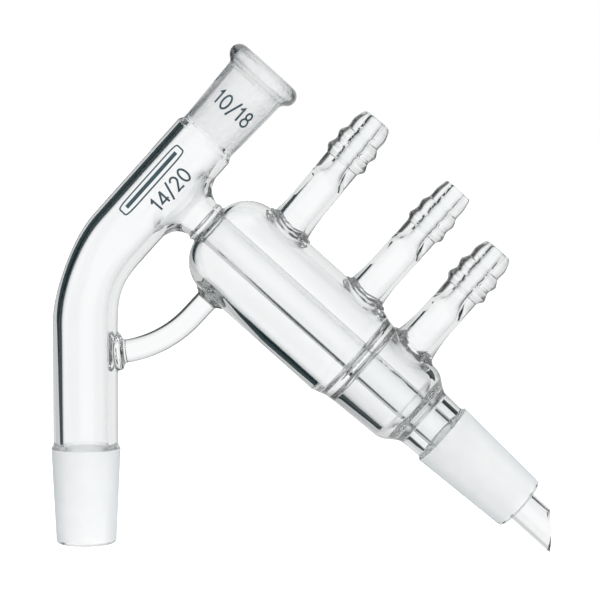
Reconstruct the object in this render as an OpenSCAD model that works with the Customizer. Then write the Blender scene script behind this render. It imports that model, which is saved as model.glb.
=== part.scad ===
// Short-path distillation head: a bent vapour tube with a joint for the flask at its foot and
// a thermometer socket at its top, and a jacketed condenser that slants down to the receiver.
// It is sealed in the flame from separate pieces of borosilicate tubing, and each is a node.
// The origin is the centre of the pot joint's large end. +Z runs up the pot joint's axis, the
// condenser slants down towards +X, and Y = 0 is the plane of symmetry.

/* [Ground joints] */
// Diameter of a 14/20 joint at its large end
joint14_d = 14.5; // [14.3:0.1:14.7]
// Length of a 14/20 joint from its large end
joint14_len = 20; // [19:0.5:21]
// Bore through the receiver joint
receiver_bore_d = 9.7; // [9:0.1:10]
// Diameter of the 10/18 socket at its mouth
joint10_d = 10; // [9.8:0.1:10.2]
// Ground length of the 10/18 socket
joint10_len = 18; // [17:0.5:18]
// Length over which a ground zone loses 1 mm of diameter
taper_run = 10; // [9.5:0.5:12]

/* [Vapour tube] */
// Outer diameter of the vapour tube
vapour_d = 13.6; // [13.2:0.1:13.9]
// Wall of the vapour tube
vapour_wall = 1.4; // [1.2:0.1:1.6]
// Angle that the vapour tube is bent through
bend_angle = 42; // [41:0.5:43]
// Radius of the bend, at the middle of the tube
bend_radius = 28; // [26:1:31]
// Height at which the two straight lengths would meet
vertex_z = 36.6; // [36:0.1:37]
// Length of the slanted tube from that point to the thermometer socket
slant_len = 37.3; // [37:0.1:38]
// Distance from that point to the condenser's axis
branch_at = 24.9; // [24.5:0.1:25.2]

/* [Condenser] */
// Outer diameter of the water jacket
jacket_d = 22.4; // [22:0.1:23]
// Wall of the jacket and of the vacuum chamber
jacket_wall = 1.7; // [1.4:0.1:1.8]
// Outer diameter of the inner condenser tube
inner_d = 7; // [6.8:0.1:7.2]
// Wall of the inner condenser tube
inner_wall = 0.9; // [0.8:0.1:1]
// Outer diameter of the vacuum chamber at its upper end
chamber_d = 19.7; // [19.4:0.1:20]
// Diameter of the neck below the vacuum chamber
neck_d = 13.8; // [13.6:0.1:14]
// Reach of the tip's vertical cut from the pot joint's axis
tip_reach = 97.3; // [96.5:0.1:98]

/* [Hose connections] */
// Outer diameter of a hose connection's stem
stem_d = 8.1; // [7.9:0.1:8.3]
// Bore of a stem
stem_bore = 5.9; // [5.6:0.1:6.1]
// Bore of a serrated tip
tip_bore = 3.5; // [3.3:0.1:3.8]
// Tip of the water outlet, from the condenser's axis
outlet_reach = 39.8; // [39:0.1:40.5]
// Tip of the water inlet, from the condenser's axis
inlet_reach = 40.2; // [39.5:0.1:41]
// Tip of the vacuum connection, from the condenser's axis
vacuum_reach = 36.6; // [36:0.1:37.5]

/* [Brace] */
// Diameter of the solid brace rod
brace_d = 4.9; // [4.6:0.1:5.2]
// Height of the brace where it leaves the vapour tube
brace_z = 20.2; // [19.8:0.1:20.4]

/* [Hidden] */
$fn = 72;

// Vapour tube
vapour_r = vapour_d / 2;
vapour_bore_r = vapour_r - vapour_wall;
bend_tangent = bend_radius * tan(bend_angle / 2);
bend_start = vertex_z - bend_tangent;
overrun = 2;

// Swelling of a round section where it is bent, and how far a straight length runs into it
bend_swell = 0.03;
bend_lap = 0.5;

// Pot joint: a clear collar above the ground zone, and a fire-polished end below it
collar_h = 0.8;
pot_bore_r = 4.7;
polish_h = 0.7;
polish_r = 0.6;

// Thermometer joint, along the slanted tube's axis
socket_wall = 2.05;
socket_shoulder = 0.8;
socket_inset = 0.45;
bead_r = 2.1;
bead_centre_r = 6.55;
bead_rise = 18.3;
bead_at = slant_len + bead_rise;
lip_depth = 0.7;
mouth_at = bead_at + bead_r - lip_depth;
mouth_flare = 0.35;

// Condenser, by distance along its axis from the vapour tube's axis
neck_sunk_at = 3;
neck_root_r = 5.9;
neck_bore_r = 4.5;
neck_end_r = 4.9;
neck_throat_r = 3.7;
neck_waist_at = 8;
seal_start = 11;
seal_r = 5.2;
seal_end = 14.5;
throat_end = 13.4;
dome_r = 8.2;
dome_end = 20.4;
jacket_turn = 52.3;
partition_start = 53.4;
partition_end = 55;
partition_r = 10.35;
chamber_top_r = 10.2;
chamber_turn = 56.1;
chamber_foot_r = 9.5;
shoulder_at = 67.2;
shoulder_r = 4.5;
shoulder_bore_angle = 88;
neck_end = 77.4;
neck_foot_r = 6.6;
neck_flare = 0.15;
neck_ledge = 0.6;
joint_start = neck_end + neck_ledge;
joint_tail = 1.4;
tip_uncut = 113;

jacket_r = jacket_d / 2;
jacket_bore_r = jacket_r - jacket_wall;
inner_r = inner_d / 2;
inner_bore_r = inner_r - inner_wall;
chamber_r = chamber_d / 2;
neck_r = neck_d / 2;
receiver_bore_r = receiver_bore_d / 2;
joint14_r = joint14_d / 2;
shoulder_centre_r = chamber_foot_r - shoulder_r;
shoulder_bore_r = shoulder_r - jacket_wall;
shoulder_end = shoulder_at + sqrt(pow(shoulder_r, 2) - pow(neck_r - shoulder_centre_r, 2));

// Hose connections: place along the condenser's axis, and lean back towards the vapour tube
outlet_at = 25.6;
outlet_lean = 2.4;
inlet_at = 46.2;
inlet_lean = 0;
vacuum_at = 61.2;
vacuum_lean = 0.6;
stem_r = stem_d / 2;
root_flare = 0.6;
flare_len = 6;
serration_len = 11.4;
crests = [10.2, 6.6, 3];
valleys = [8.3, 4.7];
crest_r = [4.9, 4.8, 4.1];
valley_r = [4.3, 3.95];
slim_crest_r = [4.55, 4.4, 3.75];
slim_valley_r = [4.1, 3.7];
slim_stem_r = 3.85;
tip_r = 3.3;
bore_step_at = 13.7;
bore_step_len = 1.8;

// Brace: an arc between the two tubes, with a flared foot at each end
brace_r = brace_d / 2;
brace_start_angle = 5;
brace_end_angle = 47;
brace_bend = 24;
brace_foot_r = 3.8;
brace_collar_r = 3.2;
foot_len = 2;
foot_ledge = 0.15;
foot_sunk = 1.6;
brace_straight = 7.2;
collar_at = 3.8;

// Radius of a 14/20 ground cone at a distance from its large end
function cone_r(along) = joint14_r - along / taper_run / 2;

// Points of an arc about centre c, from angle a to angle b in n steps
function arc(c, r, a, b, n = 12) =
  [for (i = [0:n]) c + r * [cos(a + (b - a) * i / n), sin(a + (b - a) * i / n)]];

// Places the slanted tube's axis on local +Z, from the bend's vertex
module in_slant() {
  translate([0, 0, vertex_z]) rotate([0, bend_angle, 0]) children();
}

// Places the condenser's axis on local +Z, with the hose connections towards local -X
module in_condenser() {
  in_slant() translate([0, 0, branch_at]) rotate([0, 90, 0]) children();
}

// Places a hose connection's axis on local +Z, from the condenser's axis
module in_branch(at, lean) {
  in_condenser() translate([0, 0, at]) rotate([0, -90 - lean, 0]) children();
}

// A straight length of the vapour tube, from one distance along local +Z to another
module straight_tube(from, to) {
  translate([0, 0, from]) difference() {
    cylinder(r = vapour_r, h = to - from);
    translate([0, 0, -overrun]) cylinder(r = vapour_bore_r, h = to - from + 2 * overrun);
  }
}

// The outside of a straight length of the vapour tube, for trimming what is sealed to it
module vapour_solid() {
  cylinder(r = vapour_r, h = slant_len);
}

function jacket_outline() = concat(
  arc([jacket_r - dome_r, dome_end], dome_r, -asin(sqrt(1 - pow((seal_r - jacket_r + dome_r)
    / dome_r, 2))), 0),
  [[jacket_r, jacket_turn], [jacket_r - root_flare, partition_start]]
);

function jacket_lining() = concat(
  [[jacket_bore_r - root_flare / 2, partition_start], [jacket_bore_r, jacket_turn]],
  arc([jacket_r - dome_r, dome_end], dome_r - jacket_wall, 0,
    -asin(sqrt(1 - pow((seal_r - jacket_r + dome_r) / (dome_r - jacket_wall), 2))))
);

function chamber_outline() = concat(
  [[chamber_top_r, partition_end], [chamber_r, chamber_turn]],
  arc([shoulder_centre_r, shoulder_at], shoulder_r, 0,
    acos((neck_r - shoulder_centre_r) / shoulder_r))
);

function chamber_lining() = concat(
  [[receiver_bore_r + neck_flare, shoulder_end]],
  arc([shoulder_centre_r, shoulder_at], shoulder_bore_r, shoulder_bore_angle, 0),
  [[chamber_r - jacket_wall, chamber_turn], [chamber_top_r - jacket_wall, partition_end]]
);

// A solid of revolution inside an outline, filled to its axis
module filled(outline) {
  last = len(outline) - 1;
  rotate_extrude()
    polygon(concat([[0, outline[0][1]]], outline, [[0, outline[last][1]]]));
}

// A hose connection: a flared stem, three soft serrations and a stepped bore
module hose_connection(reach, stem, crest, valley, root) {
  difference() {
    rotate_extrude() polygon([
      [0, root - foot_sunk],
      [stem + root_flare, root - foot_sunk],
      [stem + root_flare, root],
      [stem + root_flare / 4, root + flare_len / 2],
      [stem, root + flare_len],
      [stem, reach - serration_len],
      [crest[0], reach - crests[0]],
      [valley[0], reach - valleys[0]],
      [crest[1], reach - crests[1]],
      [valley[1], reach - valleys[1]],
      [crest[2], reach - crests[2]],
      [tip_r, reach - polish_r],
      [tip_r - polish_r, reach],
      [0, reach]
    ]);
    rotate_extrude() polygon([
      [0, 0],
      [stem_bore / 2, 0],
      [stem_bore / 2, reach - bore_step_at - bore_step_len],
      [tip_bore / 2, reach - bore_step_at],
      [tip_bore / 2, reach + overrun],
      [0, reach + overrun]
    ]);
  }
}

module pot_joint() {
  color("gainsboro") rotate_extrude() polygon([
    [vapour_bore_r, collar_h],
    [vapour_r, collar_h],
    [joint14_r, 0],
    [cone_r(joint14_len - polish_h), polish_h - joint14_len],
    [cone_r(joint14_len) - polish_r, -joint14_len],
    [pot_bore_r, -joint14_len]
  ]);
}

module vapour_tube() {
  color("lightcyan") {
    straight_tube(collar_h, bend_start + bend_lap);
    translate([bend_radius, 0, bend_start]) rotate([90, 0, 0])
      rotate([0, 0, 180 - bend_angle]) rotate_extrude(angle = bend_angle)
        translate([bend_radius, 0]) difference() {
          circle(r = vapour_r + bend_swell);
          circle(r = vapour_bore_r - bend_swell);
        }
    difference() {
      in_slant() straight_tube(bend_tangent - bend_lap, slant_len);
      in_condenser() cylinder(r = neck_bore_r, h = neck_waist_at);
    }
  }
}

module thermometer_joint() {
  socket_top = joint10_d / 2;
  socket_foot_r = socket_top - joint10_len / taper_run / 2;
  socket_foot_at = mouth_at - joint10_len;
  flare_angle = -acos((socket_top + socket_wall - bead_centre_r) / bead_r);
  color("gainsboro") in_slant() rotate_extrude() polygon(concat(
    [
      [vapour_bore_r, slant_len],
      [vapour_r, slant_len],
      [vapour_r - socket_inset, slant_len + socket_shoulder]
    ],
    arc([bead_centre_r, bead_at], bead_r, flare_angle, 90),
    [
      [socket_top + mouth_flare, bead_at + bead_r],
      [socket_top, mouth_at],
      [socket_foot_r, socket_foot_at]
    ]
  ));
}

module vapour_neck() {
  color("lightcyan") difference() {
    in_condenser() rotate_extrude() polygon([
      [0, neck_sunk_at],
      [neck_root_r, neck_sunk_at],
      [neck_root_r, vapour_r],
      [neck_end_r, seal_start],
      [0, seal_start]
    ]);
    in_slant() vapour_solid();
    in_condenser() rotate_extrude() polygon([
      [0, 0],
      [neck_bore_r, 0],
      [neck_bore_r, neck_waist_at],
      [neck_throat_r, seal_start],
      [neck_throat_r, seal_start + overrun],
      [0, seal_start + overrun]
    ]);
  }
}

module upper_ring_seal() {
  color("powderblue") in_condenser() rotate_extrude() polygon([
    [neck_throat_r, seal_start],
    [seal_r, seal_start],
    [seal_r, seal_end],
    [inner_bore_r, seal_end],
    [inner_bore_r, throat_end]
  ]);
}

module condenser_tube() {
  color("aliceblue") in_condenser() rotate_extrude()
    translate([inner_bore_r, seal_end]) square([inner_wall, partition_start - seal_end]);
}

module condenser_jacket() {
  color("lightcyan") difference() {
    in_condenser() rotate_extrude() polygon(concat(jacket_outline(), jacket_lining()));
    in_branch(outlet_at, outlet_lean) cylinder(r = stem_bore / 2, h = jacket_d);
    in_branch(inlet_at, inlet_lean) cylinder(r = stem_bore / 2, h = jacket_d);
  }
}

module lower_ring_seal() {
  color("powderblue") in_condenser() rotate_extrude()
    translate([inner_bore_r, partition_start])
      square([partition_r - inner_bore_r, partition_end - partition_start]);
}

module vacuum_chamber() {
  color("lightcyan") difference() {
    in_condenser() rotate_extrude() polygon(concat(chamber_outline(), chamber_lining()));
    in_branch(vacuum_at, vacuum_lean) cylinder(r = stem_bore / 2, h = chamber_d);
  }
}

module receiver_neck() {
  color("lightcyan") in_condenser() rotate_extrude() polygon([
    [receiver_bore_r + neck_flare, shoulder_end],
    [neck_r, shoulder_end],
    [neck_foot_r, neck_end],
    [receiver_bore_r, neck_end]
  ]);
}

module receiver_joint() {
  long_end = joint14_len + joint_tail;
  color("gainsboro") in_condenser() rotate_extrude() polygon([
    [receiver_bore_r, neck_end],
    [neck_foot_r, neck_end],
    [joint14_r, joint_start],
    [cone_r(long_end), joint_start + long_end],
    [cone_r(long_end) - polish_r, joint_start + long_end + polish_h],
    [receiver_bore_r, joint_start + long_end + polish_h]
  ]);
}

module drip_tube() {
  color("aliceblue") difference() {
    in_condenser() rotate_extrude()
      translate([inner_bore_r, partition_end]) square([inner_wall, tip_uncut - partition_end]);
    translate([tip_reach, -jacket_r, -2 * jacket_d]) cube([jacket_d, jacket_d, 3 * jacket_d]);
  }
}

module water_outlet() {
  color("paleturquoise") difference() {
    in_branch(outlet_at, outlet_lean)
      hose_connection(outlet_reach, stem_r, crest_r, valley_r, jacket_r);
    in_condenser() filled(jacket_outline());
  }
}

module water_inlet() {
  color("paleturquoise") difference() {
    in_branch(inlet_at, inlet_lean)
      hose_connection(inlet_reach, slim_stem_r, slim_crest_r, slim_valley_r, jacket_r);
    in_condenser() filled(jacket_outline());
  }
}

module vacuum_connection() {
  color("paleturquoise") difference() {
    in_branch(vacuum_at, vacuum_lean)
      hose_connection(vacuum_reach, stem_r, crest_r, valley_r, chamber_r);
    in_condenser() filled(chamber_outline());
  }
}

module brace_rod() {
  start = [vapour_r, 0, brace_z];
  centre = start + brace_bend * [-sin(brace_start_angle), 0, cos(brace_start_angle)];
  end = centre + brace_bend * [sin(brace_end_angle), 0, -cos(brace_end_angle)];
  color("azure") difference() {
    union() {
      translate(start) rotate([0, 90 - brace_start_angle, 0]) {
        translate([0, 0, -foot_sunk]) cylinder(r = brace_foot_r, h = foot_sunk);
        cylinder(r1 = brace_foot_r, r2 = brace_r + foot_ledge, h = foot_len);
      }
      translate(centre) rotate([90, 0, 0]) rotate([0, 0, brace_start_angle - 90])
        rotate_extrude(angle = brace_end_angle - brace_start_angle)
          translate([brace_bend, 0]) circle(r = brace_r + bend_swell);
      translate(end) rotate([0, 90 - brace_end_angle, 0]) {
        translate([0, 0, -bend_lap]) cylinder(r = brace_r, h = bend_lap + collar_at);
        translate([0, 0, collar_at])
          cylinder(r1 = brace_r, r2 = brace_collar_r, h = foot_len);
        translate([0, 0, collar_at + foot_len])
          cylinder(r = brace_collar_r, h = brace_straight - collar_at - foot_len);
      }
    }
    vapour_solid();
    in_condenser() filled(jacket_outline());
  }
}

pot_joint();
vapour_tube();
thermometer_joint();
vapour_neck();
upper_ring_seal();
condenser_tube();
condenser_jacket();
lower_ring_seal();
vacuum_chamber();
receiver_neck();
receiver_joint();
drip_tube();
water_outlet();
water_inlet();
vacuum_connection();
brace_rod();
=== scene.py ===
import math

import bmesh
import bpy
import numpy as np
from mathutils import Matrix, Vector


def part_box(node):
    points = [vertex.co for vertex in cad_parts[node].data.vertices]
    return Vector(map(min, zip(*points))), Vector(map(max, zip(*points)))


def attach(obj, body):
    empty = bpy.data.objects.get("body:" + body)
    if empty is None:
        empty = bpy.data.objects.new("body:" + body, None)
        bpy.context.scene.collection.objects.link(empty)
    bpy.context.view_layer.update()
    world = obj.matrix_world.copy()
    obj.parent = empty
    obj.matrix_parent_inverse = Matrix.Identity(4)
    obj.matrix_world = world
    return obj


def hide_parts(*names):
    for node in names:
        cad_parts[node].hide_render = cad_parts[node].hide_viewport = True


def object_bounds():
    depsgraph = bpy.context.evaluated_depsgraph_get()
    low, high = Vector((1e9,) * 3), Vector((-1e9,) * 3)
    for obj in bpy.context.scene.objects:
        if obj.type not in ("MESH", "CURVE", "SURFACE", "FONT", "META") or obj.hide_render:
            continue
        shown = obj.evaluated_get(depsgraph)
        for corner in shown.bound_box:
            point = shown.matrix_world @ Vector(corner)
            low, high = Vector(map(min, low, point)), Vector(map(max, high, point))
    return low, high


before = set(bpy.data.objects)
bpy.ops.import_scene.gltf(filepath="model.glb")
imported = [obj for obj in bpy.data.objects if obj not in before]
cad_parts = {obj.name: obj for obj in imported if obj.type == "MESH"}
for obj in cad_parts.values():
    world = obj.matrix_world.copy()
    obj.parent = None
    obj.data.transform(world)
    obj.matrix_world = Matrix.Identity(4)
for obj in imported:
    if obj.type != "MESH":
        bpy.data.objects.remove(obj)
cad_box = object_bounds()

# Short-path distillation head. The glass is one continuous body, as it is after sealing in the
# flame, so it is described once as a distance field: solids less cavities, joined by fillets.
# The field is turned into a mesh, and the mesh is cut into the frame's pieces by plane cuts.
# Lengths are in millimetres until a mesh is made.
MM = 0.001


# ----------------------------------------------------------------------
# Dimensions
# ----------------------------------------------------------------------

# The field's grid: side of a cell, cells along a block, the share of the mesh's faces that is
# kept, and how far the grid reaches past the frame's box
CELL = 0.3
BLOCK = 8
KEPT_SHARE = 0.36
MARGIN = 2

# Ground joints: radius at the large end, slope, and the round at a fire-polished end
JOINT_R = 7.25
CONE_SLOPE = 0.05
POLISH = 0.7

# Pot joint and vapour tube, by height
FOOT_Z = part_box("pot_joint")[0].z / MM
COLLAR_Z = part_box("pot_joint")[1].z / MM
VERTICAL_R = 6.8
SLANTED_R = 7.0
BORE_R = 4.95
POT_BORE_R = 4.6

# Bend of the vapour tube. A length along the tube starts at the pot joint's large end, and
# SLANT_SHIFT is the difference between it and a distance from the bend's vertex.
BEND = math.radians(42)
BEND_R = 28.0
VERTEX_Z = 36.6
BEND_TANGENT = BEND_R * math.tan(BEND / 2)
BEND_START = VERTEX_Z - BEND_TANGENT
BEND_END = BEND_START + BEND_R * BEND
SLANT_SHIFT = BEND_END - BEND_TANGENT
BEND_SQUASH = 0.07

# Thermometer joint, by distance from the bend's vertex
SOCKET_START = 37.3
BEAD_AT = 55.6
BEAD_RING_R = 6.55
BEAD_R = 2.1
BEAD_FILLET = 0.8
SOCKET_MOUTH = 57.0
SOCKET_LEN = 18.0
SOCKET_FOOT = SOCKET_MOUTH - SOCKET_LEN
SOCKET_LIP = SOCKET_MOUTH - 0.2
SOCKET_R = 5.0

# Radius by length along the vapour tube: outside, and bore
TUBE_KNOTS = [
    (FOOT_Z, JOINT_R + CONE_SLOPE * FOOT_Z),
    (0, JOINT_R),
    (COLLAR_Z, VERTICAL_R),
    (BEND_START, VERTICAL_R),
    (BEND_END, SLANTED_R),
    (SLANT_SHIFT + SOCKET_START, SLANTED_R),
    (SLANT_SHIFT + SOCKET_START + 0.9, 6.4),
    (SLANT_SHIFT + BEAD_AT, 7.05),
]
BORE_KNOTS = [
    (FOOT_Z, POT_BORE_R),
    (COLLAR_Z, BORE_R - 0.1),
    (BEND_START, BORE_R),
    (BEND_END, BORE_R + 0.1),
    (SLANT_SHIFT + SOCKET_START - 0.4, BORE_R + 0.1),
    (SLANT_SHIFT + SOCKET_MOUTH - SOCKET_LEN + 0.8, SOCKET_R - SOCKET_LEN * CONE_SLOPE),
    (SLANT_SHIFT + SOCKET_MOUTH, SOCKET_R),
    (SLANT_SHIFT + SOCKET_MOUTH + 1, SOCKET_R + 0.5),
]

# Vapour neck and its ring seal, by distance from the vapour tube's axis
BRANCH_AT = 24.9
NECK_R = 4.3
NECK_MIDDLE = 8.5
NECK_HALF = 4.5
NECK_FLARE = 2.3
NECK_FLARE_LEN = 4.6
NECK_FLARE_POWER = 1.8
NECK_OVAL = 0.4
NECK_FILLET = 2.0
THROAT_R = 2.7
THROAT_FILLET = 2.8
NECK_BORE_KNOTS = [(5.0, 4.6), (11.2, 3.3), (11.6, 3.25), (14.2, THROAT_R), (15.0, THROAT_R)]
RING_SEAL_AT = 11.5
RING_SEAL_R = 0.55
RING_SEAL_SUNK = 0.1
RING_SEAL_FILLET = 0.4

# Condenser, by distance from the vapour tube's axis
INNER_R = 3.5
JACKET_R = 11.2
JACKET_BORE_R = 9.25
WALL = JACKET_R - JACKET_BORE_R
DOME_AT = 12.2
DOME_ROUND = 8.2
DOME_WALL = 1.2
DOME_FILLET = 0.5
PARTITION = (53.4, 55.0)
PARTITION_ROUND = 1.3
INNER_ROUND = 0.9
CHAMBER_END = 71.7
CHAMBER_BORE_KNOTS = [(PARTITION[1], 7.75), (67.2, 7.4)]
SHOULDER_ROUND = 4.5
SHOULDER_BORE_ROUND = 2.6
BODY_KNOTS = [(51.2, JACKET_R), (54.2, 10.2), (56.6, 9.95), (67.2, 9.5)]

# Receiver's neck and joint, and the drip tube inside them
NECK_END = 77.4
NECK_BORE_R = 4.85
NECK_BORE_START = 66.0
NECK_BORE_FILLET = 0.8
RECEIVER_START = 78.0
RECEIVER_END = 100.1
RECEIVER_FILLET = 1.6
RECEIVER_KNOTS = [
    (64.0, 7.1),
    (70.0, 6.95),
    (NECK_END, 6.65),
    (RECEIVER_START, JOINT_R),
    (RECEIVER_END, JOINT_R - CONE_SLOPE * (RECEIVER_END - RECEIVER_START)),
]
DRIP_START = 60.0
DRIP_ROUND = 0.4
TIP_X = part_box("drip_tube")[1].x / MM

# Hose connections: place along the condenser, lean, reach, and radius by distance from the tip
BROAD = [(0.0, 3.35), (3.0, 4.1), (4.7, 3.95), (6.6, 4.8), (8.3, 4.3), (10.2, 4.9), (11.8, 4.05)]
SLIM = [(0.0, 3.3), (3.0, 3.75), (4.7, 3.7), (6.6, 4.4), (8.3, 4.1), (10.2, 4.55), (11.6, 3.85)]
HOSES = {
    "water_outlet": dict(at=25.6, lean=2.4, reach=39.8, knots=BROAD, lip=0.8),
    "water_inlet": dict(at=46.2, lean=0.0, reach=40.2, knots=SLIM, lip=0.5),
    "vacuum_connection": dict(at=61.2, lean=0.6, reach=36.6, knots=BROAD, lip=0.8),
}
STEM_FILLET = 0.8
ROOT_FLARE = 0.6
FLARE_LEN = 6.0

# Bead at a stem's root: how far it lies outside the flare, its radius, and how that radius
# varies, in mm and in radians per mm across and along the condenser
ROOT_BEAD_OUT = 0.35
ROOT_BEAD_R = 0.34
ROOT_BEAD_WAVE = 0.08
ROOT_BEAD_RATES = (2.3, 1.9)
ROOT_BEAD_FILLET = 0.2

# Bore of a hose connection, by distance from the tip: it is narrower and a little wavy inside
# the serrations
HOSE_BORE_KNOTS = [(12.4, 1.45), (17.4, 2.95)]
HOSE_BORE_FOOT = JACKET_BORE_R - 3
HOSE_BORE_FILLET = 1.6
WAVE = 0.09
WAVE_RATE = 2.2
WAVE_MIDDLE = 7.0
WAVE_REACH = 2.5 * math.pi / WAVE_RATE

# Brace rod: an arc that leaves the vapour tube and meets the jacket square on. A maria, which is
# a pressed bead, stands at its foot, and a collar near its end.
BRACE_R = 2.45
BRACE_BEND = 24.0
BRACE_Z = 20.2
BRACE_ANGLES = (math.radians(5), math.radians(47))
BRACE_LEN = 7.2
BRACE_FILLET = 0.7
BRACE_BEAD_R = 0.75
MARIA_AT = 0.35
MARIA_RING_R = 3.1
MARIA_FILLET = 0.8
COLLAR_AT = 5.6
COLLAR_RING_R = 2.6
COLLAR_FILLET = 0.6

# Round at every edge between the outside and a cavity
RIM_ROUND = 0.3


# ----------------------------------------------------------------------
# Distance fields
# ----------------------------------------------------------------------


class Axis:
    """A straight axis in the plane of symmetry."""

    def __init__(self, origin, direction):
        self.origin = np.array(origin, float)
        self.direction = np.array(direction, float)

    def at(self, distance):
        return self.origin + distance * self.direction

    def along(self, points):
        x, z = points[:, 0] - self.origin[0], points[:, 2] - self.origin[2]
        return x * self.direction[0] + z * self.direction[2]

    def off(self, points):
        """Distance from the axis."""
        x, z = points[:, 0] - self.origin[0], points[:, 2] - self.origin[2]
        return np.hypot(x * self.direction[2] - z * self.direction[0], points[:, 1])


UP_SLANT = (math.sin(BEND), 0, math.cos(BEND))
DOWN_SLANT = (math.cos(BEND), 0, -math.sin(BEND))
plumb = Axis((0, 0, 0), (0, 0, 1))
slant = Axis((0, 0, VERTEX_Z), UP_SLANT)
condenser = Axis(slant.at(BRANCH_AT), DOWN_SLANT)


def hose_axis(hose):
    lean = math.radians(hose["lean"])
    direction = math.cos(lean) * np.array(UP_SLANT) - math.sin(lean) * np.array(DOWN_SLANT)
    return Axis(condenser.at(hose["at"]), direction)


def meet(a, b, edge):
    """What is in both a and b, with its edge rounded to a radius."""
    out_a, out_b = a + edge, b + edge
    corner = np.hypot(np.maximum(out_a, 0), np.maximum(out_b, 0))
    return corner + np.minimum(np.maximum(out_a, out_b), 0) - edge


def join(a, b, fillet):
    """What is in a or b, with a fillet of a radius between them."""
    return -meet(-a, -b, fillet)


def straight(at, knots):
    """A radius that runs straight from knot to knot."""
    return np.interp(at, *zip(*knots))


def flowing(at, knots):
    """A radius that flows from knot to knot and is level at each."""
    places, radii = (np.array(k) for k in zip(*knots))
    i = np.clip(np.searchsorted(places, at) - 1, 0, len(places) - 2)
    share = np.clip((at - places[i]) / (places[i + 1] - places[i]), 0, 1)
    return radii[i] + (radii[i + 1] - radii[i]) * share**2 * (3 - 2 * share)


def follow_bend(points):
    """Distance from the bent vapour tube's axis, and the length along it."""
    x, y, z = points.T
    angle = np.arctan2(z - BEND_START, BEND_R - x)
    bent = (angle > 0) & (angle < BEND)
    slanted = (angle >= BEND) & (slant.along(points) > 0)
    squash = 1 + BEND_SQUASH * np.sin(np.clip(angle / BEND, 0, 1) * math.pi) ** 2
    across = BEND_R - np.hypot(x - BEND_R, z - BEND_START)
    off = np.where(bent, np.hypot(across * squash, y / np.sqrt(squash)), np.hypot(x, y))
    along = np.where(bent, BEND_START + BEND_R * angle, z)
    off = np.where(slanted, slant.off(points), off)
    return off, np.where(slanted, slant.along(points) + SLANT_SHIFT, along)


def vapour_solid(points):
    """Pot joint, vapour tube and thermometer joint."""
    off, along = follow_bend(points)
    tube = meet(off - straight(along, TUBE_KNOTS), FOOT_Z - along, POLISH)
    rise = slant.along(points)
    bead = np.hypot(slant.off(points) - BEAD_RING_R, rise - BEAD_AT) - BEAD_R
    return join(np.maximum(tube, along - SLANT_SHIFT - BEAD_AT), bead, BEAD_FILLET)


def vapour_bore(points):
    off, along = follow_bend(points)
    return off - straight(along, BORE_KNOTS)


def neck_off(points, along):
    """Distance from the condenser's axis, as if the neck were round: it is oval, narrower from
    front to back, where it opens into the vapour tube."""
    squash = 1 + NECK_OVAL * flowing(along, [(5.5, 1.0), (RING_SEAL_AT, 0.0)])
    return np.hypot(condenser.off(points * (1, 0, 1)), points[:, 1] * squash)


def condenser_solid(points):
    """Neck with its seal ring, water jacket, vacuum chamber, receiver joint and drip tube."""
    off, along = condenser.off(points), condenser.along(points)
    flare = np.clip((RING_SEAL_AT - along) / NECK_FLARE_LEN, 0, 1.5) ** NECK_FLARE_POWER
    side = neck_off(points, along) - NECK_R - NECK_FLARE * flare
    neck = np.maximum(side, np.abs(along - NECK_MIDDLE) - NECK_HALF)
    ring = np.hypot(off - NECK_R + RING_SEAL_SUNK, along - RING_SEAL_AT) - RING_SEAL_R
    neck = join(neck, ring, RING_SEAL_FILLET)
    body = meet(off - straight(along, BODY_KNOTS), DOME_AT - along, DOME_ROUND)
    body = meet(body, along - CHAMBER_END, SHOULDER_ROUND)
    receiver = np.maximum(off - straight(along, RECEIVER_KNOTS), RECEIVER_KNOTS[0][0] - along)
    receiver = meet(receiver, along - RECEIVER_END, POLISH)
    drip = np.maximum(np.maximum(off - INNER_R, points[:, 0] - TIP_X), DRIP_START - along)
    return neck, np.minimum(join(body, receiver, RECEIVER_FILLET), drip)


def condenser_bore(points):
    """The vapour's way from the vapour tube to the drip tip."""
    along = condenser.along(points)
    return np.maximum(neck_off(points, along) - flowing(along, NECK_BORE_KNOTS), -along)


def water_space(points):
    off, along = condenser.off(points), condenser.along(points)
    space = meet(off - JACKET_BORE_R, DOME_AT + DOME_WALL - along, DOME_ROUND - WALL)
    space = meet(space, along - PARTITION[0], PARTITION_ROUND)
    return meet(space, INNER_R - off, INNER_ROUND)


def vacuum_space(points):
    off, along = condenser.off(points), condenser.along(points)
    bore = straight(along, CHAMBER_BORE_KNOTS)
    space = meet(off - bore, PARTITION[1] - along, PARTITION_ROUND)
    space = meet(space, along - CHAMBER_END + WALL, SHOULDER_BORE_ROUND)
    outlet = np.maximum(off - NECK_BORE_R, NECK_BORE_START - along)
    return meet(join(space, outlet, NECK_BORE_FILLET), INNER_R - off, DRIP_ROUND)


def hose_solid(points, hose):
    axis = hose_axis(hose)
    off, along = axis.off(points), axis.along(points)
    stem = hose["knots"][-1][1]
    root = ROOT_FLARE * np.clip(1 - (along - JACKET_R) / FLARE_LEN, 0, 1.3) ** 2
    side = off - flowing(hose["reach"] - along, hose["knots"]) - root
    return np.maximum(meet(side, along - hose["reach"], hose["lip"]), stem - along)


def root_bead(points, hose):
    """The uneven bead of glass where a hose connection is sealed to the condenser's body."""
    axis, along = hose_axis(hose), condenser.along(points)
    beside = axis.off(points) - hose["knots"][-1][1] - ROOT_FLARE - ROOT_BEAD_OUT
    above = condenser.off(points) - straight(along, BODY_KNOTS)
    turn = ROOT_BEAD_RATES[0] * points[:, 1] + ROOT_BEAD_RATES[1] * along
    thick = ROOT_BEAD_R + ROOT_BEAD_WAVE * np.sin(turn)
    return np.maximum(np.hypot(beside, above) - thick, -axis.along(points))


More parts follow.
